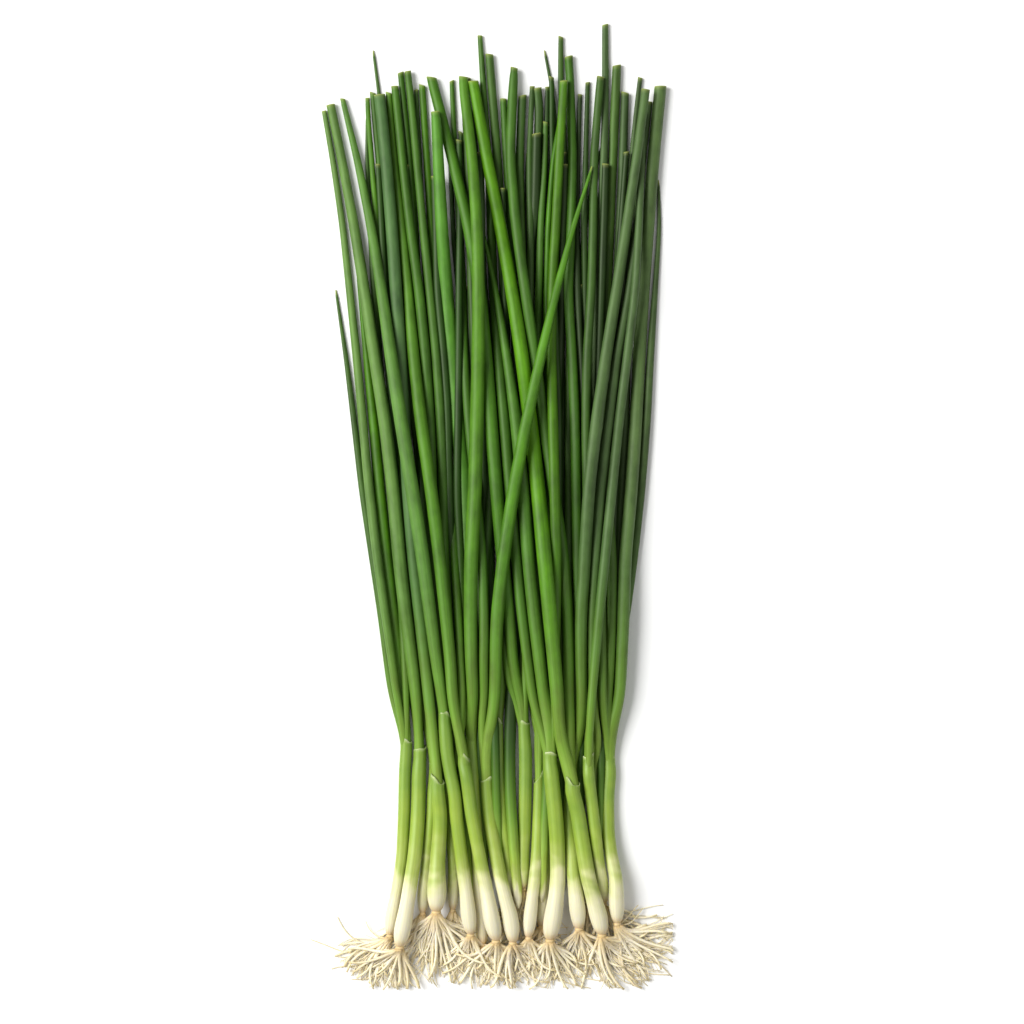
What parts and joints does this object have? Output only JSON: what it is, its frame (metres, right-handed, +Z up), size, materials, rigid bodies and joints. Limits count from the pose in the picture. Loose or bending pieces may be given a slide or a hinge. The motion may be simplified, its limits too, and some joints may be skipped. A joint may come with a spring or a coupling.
{
  "type": "chive bunch",
  "caption": "Loose untied bunch of fresh chives lying flat, with long hollow green leaves, small white bulbs and thin cream roots.",
  "frame": {"origin": "centre of the bounding box's bottom, on the surface that the bunch lies on", "axes": "+Y along the bunch from the roots towards the leaf tips, +Z up from the surface, +X to the right seen from above with the tips at the top"},
  "size_m": [0.1212, 0.3208, 0.0153],
  "materials": {
    "leaf_green": "fresh green leaf with a soft waxy bloom",
    "bulb_white": "smooth moist white bulb skin",
    "root_cream": "dull fibrous root"
  },
  "bodies": {
    "root": {"plant_01_leaves": "leaf_green", "plant_01_bulb": "bulb_white", "plant_01_roots": "root_cream", "plant_02_leaves": "leaf_green", "plant_02_bulb": "bulb_white", "plant_02_roots": "root_cream", "plant_03_leaves": "leaf_green", "plant_03_bulb": "bulb_white", "plant_03_roots": "root_cream", "plant_04_leaves": "leaf_green", "plant_04_bulb": "bulb_white", "plant_04_roots": "root_cream", "plant_05_leaves": "leaf_green", "plant_05_bulb": "bulb_white", "plant_05_roots": "root_cream", "plant_06_leaves": "leaf_green", "plant_06_bulb": "bulb_white", "plant_06_roots": "root_cream", "plant_07_leaves": "leaf_green", "plant_07_bulb": "bulb_white", "plant_07_roots": "root_cream", "plant_08_leaves": "leaf_green", "plant_08_bulb": "bulb_white", "plant_08_roots": "root_cream", "plant_09_leaves": "leaf_green", "plant_09_bulb": "bulb_white", "plant_09_roots": "root_cream", "plant_10_leaves": "leaf_green", "plant_10_bulb": "bulb_white", "plant_10_roots": "root_cream", "plant_11_leaves": "leaf_green", "plant_11_bulb": "bulb_white", "plant_11_roots": "root_cream", "plant_12_leaves": "leaf_green", "plant_12_bulb": "bulb_white", "plant_12_roots": "root_cream", "plant_13_leaves": "leaf_green", "plant_13_bulb": "bulb_white", "plant_13_roots": "root_cream", "plant_14_leaves": "leaf_green", "plant_14_bulb": "bulb_white", "plant_14_roots": "root_cream", "plant_15_leaves": "leaf_green", "plant_15_bulb": "bulb_white", "plant_15_roots": "root_cream", "plant_16_leaves": "leaf_green", "plant_16_bulb": "bulb_white", "plant_16_roots": "root_cream", "plant_17_leaves": "leaf_green", "plant_17_bulb": "bulb_white", "plant_17_roots": "root_cream", "plant_18_leaves": "leaf_green", "plant_18_bulb": "bulb_white", "plant_18_roots": "root_cream", "plant_19_leaves": "leaf_green", "plant_19_bulb": "bulb_white", "plant_19_roots": "root_cream"}
  },
  "joints": []
}
